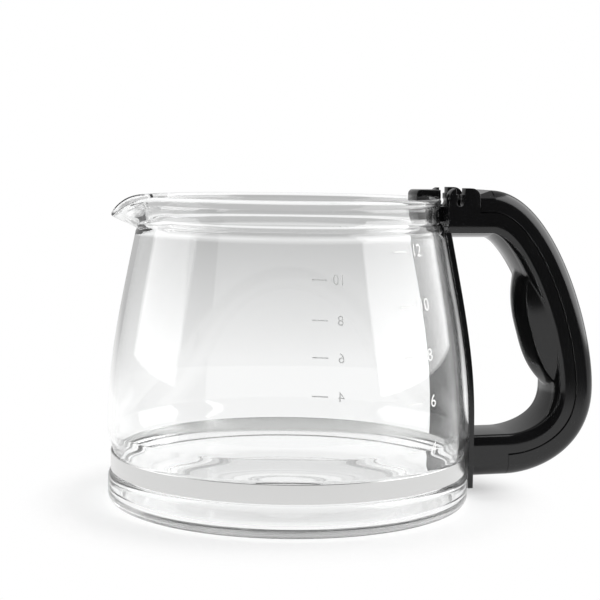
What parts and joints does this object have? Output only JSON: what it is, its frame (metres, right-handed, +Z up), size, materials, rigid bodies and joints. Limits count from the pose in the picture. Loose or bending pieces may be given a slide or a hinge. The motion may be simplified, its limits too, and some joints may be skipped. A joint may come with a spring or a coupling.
{
  "type": "coffee server carafe",
  "caption": "Wide glass coffee server with a pouring lip and printed cup marks, held by a moulded arched handle that hooks over the rim and clamps on with a steel band.",
  "frame": {"origin": "on the jug's axis, in the plane of the foot ring that stands on the table", "axes": "+X from the jug's axis towards the handle (the spout points to -X), +Z up, +Y across the handle"},
  "size_m": [0.2125, 0.1528, 0.1322],
  "materials": {
    "glass": "clear, fire-polished",
    "band_steel": "brushed along the band",
    "plated_steel": "zinc plated",
    "black_plastic": "glossy moulded"
  },
  "bodies": {
    "root": {"glass_jug": "glass", "waist_band": "band_steel", "clamp_nut": "plated_steel", "clamp_screw": "plated_steel", "clamp_washer": "plated_steel", "handle_body": "black_plastic", "back_cover": "black_plastic"}
  },
  "joints": []
}
